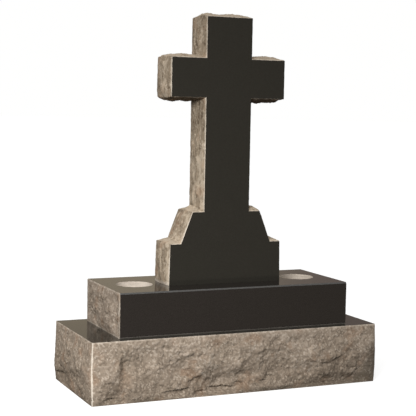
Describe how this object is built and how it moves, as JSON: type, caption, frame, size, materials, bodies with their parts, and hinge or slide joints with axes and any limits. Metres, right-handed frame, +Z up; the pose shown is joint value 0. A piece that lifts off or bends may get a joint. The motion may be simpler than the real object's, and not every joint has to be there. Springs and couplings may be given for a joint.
{
  "type": "cross headstone",
  "caption": "Polished black granite cross with rock-pitched edges, on a plinth with round vase sockets and a wider base; stands on its flat underside as a grave memorial.",
  "frame": {"origin": "middle of the base's underside", "axes": "+Z up, +X to the right as seen from the front, +Y from the front to the back"},
  "size_m": [0.946, 0.386, 1.1135],
  "materials": {
    "base_granite": "polished top, four rock-pitched sides, sawn underside",
    "plinth_granite": "polished top, front and back, rock-pitched ends, drilled sockets",
    "cross_granite": "polished front and back, rock-pitched edges"
  },
  "bodies": {
    "root": {"base": "base_granite", "plinth": "plinth_granite", "cross": "cross_granite"}
  },
  "joints": []
}
